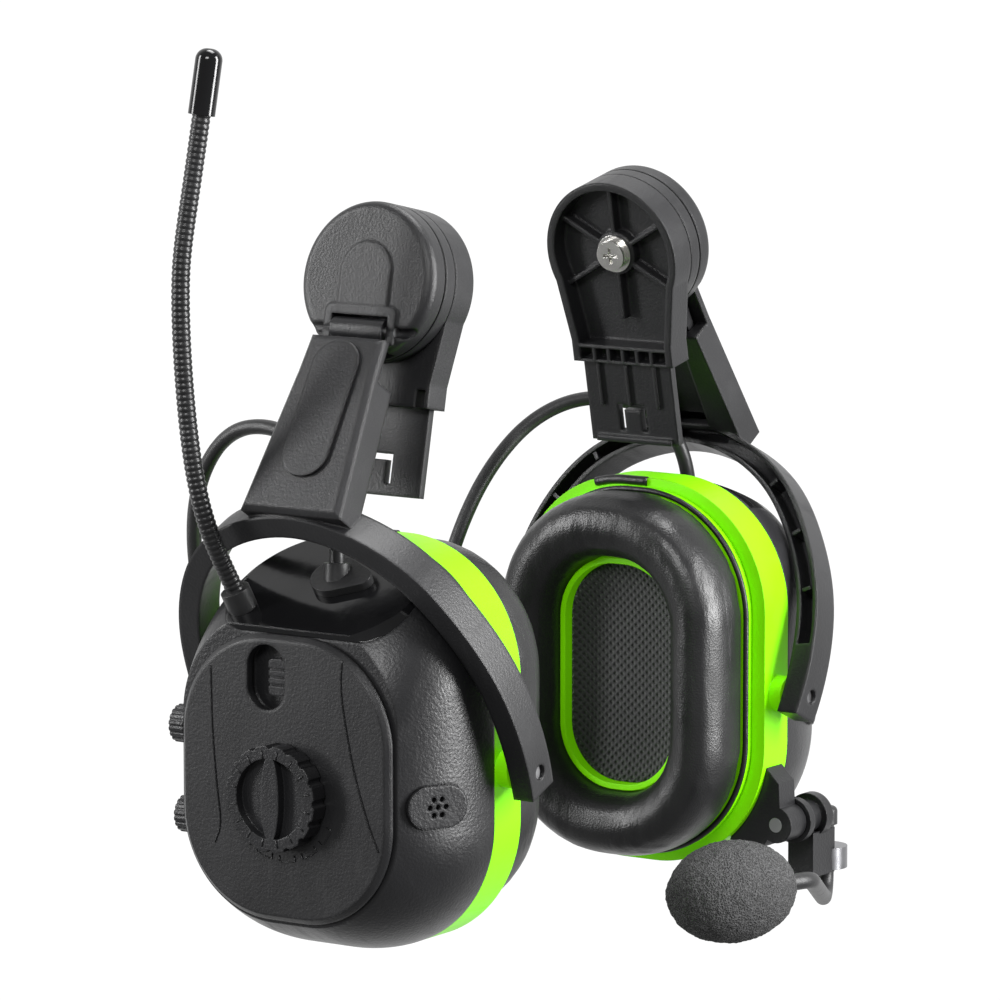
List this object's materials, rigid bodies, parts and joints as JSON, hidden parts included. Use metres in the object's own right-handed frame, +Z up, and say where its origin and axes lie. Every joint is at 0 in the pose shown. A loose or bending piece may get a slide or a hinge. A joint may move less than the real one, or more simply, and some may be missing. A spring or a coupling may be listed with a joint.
{
  "type": "helmet-mounted communication ear defenders",
  "caption": "Pair of helmet-mounted ear defenders with radio controls, whip antenna, boom microphone and pivoting yoke arms on slot adapters.",
  "frame": {"origin": "midway between the two helmet blades, at the height of their shoulders", "axes": "+Z up, -Y the wearer's front, +X the wearer's left"},
  "size_m": [0.2131, 0.127, 0.2441],
  "materials": {
    "matte_black": "fine spark-eroded texture",
    "cup_black": "satin with a fine grain",
    "gloss_black": "polished",
    "dark_nylon": "moulded nylon",
    "control_black": "satin",
    "green_plastic": "semi-gloss moulded",
    "cushion_vinyl": "soft vinyl",
    "foam_liner": "open knitted mesh",
    "speaker_black": "matte",
    "board_green": "solder mask",
    "battery_wrap": "printed sleeve, plain",
    "cable_rubber": "matte",
    "antenna_rubber": "ribbed",
    "windscreen_foam": "open foam",
    "clamp_grey": "dull",
    "steel": "ground",
    "zinc_steel": "zinc plated"
  },
  "bodies": {
    "helmet_side": {"helmet_adapter_right": "matte_black", "helmet_adapter_left": "matte_black", "pivot_screws": "zinc_steel", "pivot_washers": "zinc_steel", "cable_middle": "cable_rubber"},
    "right_hub": {"hub_housing_right": "matte_black", "hub_cap_right": "matte_black", "hinge_pin_right": "steel"},
    "right_tongue": {"slide_tongue_right": "dark_nylon"},
    "right_arm": {"yoke_arm_right": "matte_black", "arm_panel_right": "matte_black", "yoke_pivots_right": "steel"},
    "right_cup": {"cup_ring_right": "green_plastic", "inner_ring_right": "green_plastic", "cushion_right": "cushion_vinyl", "foam_liner_right": "foam_liner", "speaker_right": "speaker_black", "cup_shell_right": "cup_black", "top_trim_right": "gloss_black", "face_cover_right": "matte_black", "circuit_board_right": "board_green", "ambient_mic_port_right": "cup_black", "cable_gland_right": "cable_rubber", "cable_right": "cable_rubber", "batteries": "battery_wrap", "antenna_base": "cable_rubber", "antenna_whip": "antenna_rubber", "antenna_cap": "gloss_black"},
    "left_hub": {"hub_housing_left": "matte_black", "hub_cap_left": "matte_black", "hinge_pin_left": "steel"},
    "left_tongue": {"slide_tongue_left": "dark_nylon"},
    "left_arm": {"yoke_arm_left": "matte_black", "arm_panel_left": "matte_black", "yoke_pivots_left": "steel"},
    "left_cup": {"cup_ring_left": "green_plastic", "inner_ring_left": "green_plastic", "cushion_left": "cushion_vinyl", "foam_liner_left": "foam_liner", "speaker_left": "speaker_black", "cup_shell_left": "cup_black", "top_trim_left": "gloss_black", "face_cover_left": "matte_black", "circuit_board_left": "board_green", "ambient_mic_port_left": "cup_black", "cable_gland_left": "cable_rubber", "cable_left": "cable_rubber", "mic_bracket": "dark_nylon", "mic_axle": "steel"},
    "dial": {"tuning_dial": "control_black"},
    "switch_slide": {"band_switch": "control_black"},
    "volume_dial": {"volume_knob": "control_black"},
    "talk_volume_dial": {"talk_volume_knob": "control_black"},
    "mic_arm": {"mic_knuckle": "dark_nylon", "mic_clamp": "clamp_grey"},
    "mic_boom": {"boom_tube": "cable_rubber", "boom_end_cap": "cable_rubber", "mic_capsule": "speaker_black", "mic_windscreen": "windscreen_foam"}
  },
  "joints": [
    {"name": "right_arm_swing", "type": "hinge", "parent": "helmet_side", "child": "right_hub", "pos_m": [-0.0564, 0.0028, 0.0345], "axis": [-0.9781, 0, 0.2079], "range_deg": [-60, 60], "deforming": ["cable_middle"]},
    {"name": "right_arm_flip", "type": "hinge", "parent": "right_hub", "child": "right_tongue", "pos_m": [-0.06898, 0.0028, 0.02388], "axis": [0, 1, 0], "range_deg": [-6, 25]},
    {"name": "right_arm_height", "type": "slide", "parent": "right_tongue", "child": "right_arm", "axis": [-0.5225, 0, -0.8526], "range_m": [0, 0.018]},
    {"name": "right_cup_tilt", "type": "hinge", "parent": "right_arm", "child": "right_cup", "pos_m": [-0.0666, 0, -0.086], "axis": [0, -1, 0], "range_deg": [-1, 12], "deforming": ["cable_right"]},
    {"name": "left_arm_swing", "type": "hinge", "parent": "helmet_side", "child": "left_hub", "pos_m": [0.0564, 0.0028, 0.0345], "axis": [0.9781, 0, 0.2079], "range_deg": [-60, 60]},
    {"name": "left_arm_flip", "type": "hinge", "parent": "left_hub", "child": "left_tongue", "pos_m": [0.06898, 0.0028, 0.02388], "axis": [0, -1, 0], "range_deg": [-6, 25]},
    {"name": "left_arm_height", "type": "slide", "parent": "left_tongue", "child": "left_arm", "axis": [0.5225, 0, -0.8526], "range_m": [0, 0.018]},
    {"name": "left_cup_tilt", "type": "hinge", "parent": "left_arm", "child": "left_cup", "pos_m": [0.0666, 0, -0.086], "axis": [0, 1, 0], "range_deg": [-1, 12], "deforming": ["cable_left"]},
    {"name": "dial_turn", "type": "hinge", "parent": "right_cup", "child": "dial", "pos_m": [-0.1056, 0.004, -0.0922], "axis": [-1, 0, 0], "continuous": true},
    {"name": "band_slide", "type": "slide", "parent": "right_cup", "child": "switch_slide", "axis": [0, 0, 1], "range_m": [-0.0014, 0.0014]},
    {"name": "volume_turn", "type": "hinge", "parent": "right_cup", "child": "volume_dial", "pos_m": [-0.0916, 0.041, -0.079], "axis": [0, 1, 0], "range_deg": [-150, 150]},
    {"name": "talk_volume_turn", "type": "hinge", "parent": "right_cup", "child": "talk_volume_dial", "pos_m": [-0.0896, 0.041, -0.103], "axis": [0, 1, 0], "range_deg": [-150, 150]},
    {"name": "mic_raise", "type": "hinge", "parent": "left_cup", "child": "mic_arm", "pos_m": [0.0756, -0.0425, -0.1215], "axis": [-1, 0, 0], "range_deg": [-5, 80]},
    {"name": "boom_turn", "type": "hinge", "parent": "mic_arm", "child": "mic_boom", "pos_m": [0.0891, -0.042, -0.1345], "axis": [0, 0, 1], "range_deg": [-4, 55]}
  ]
}
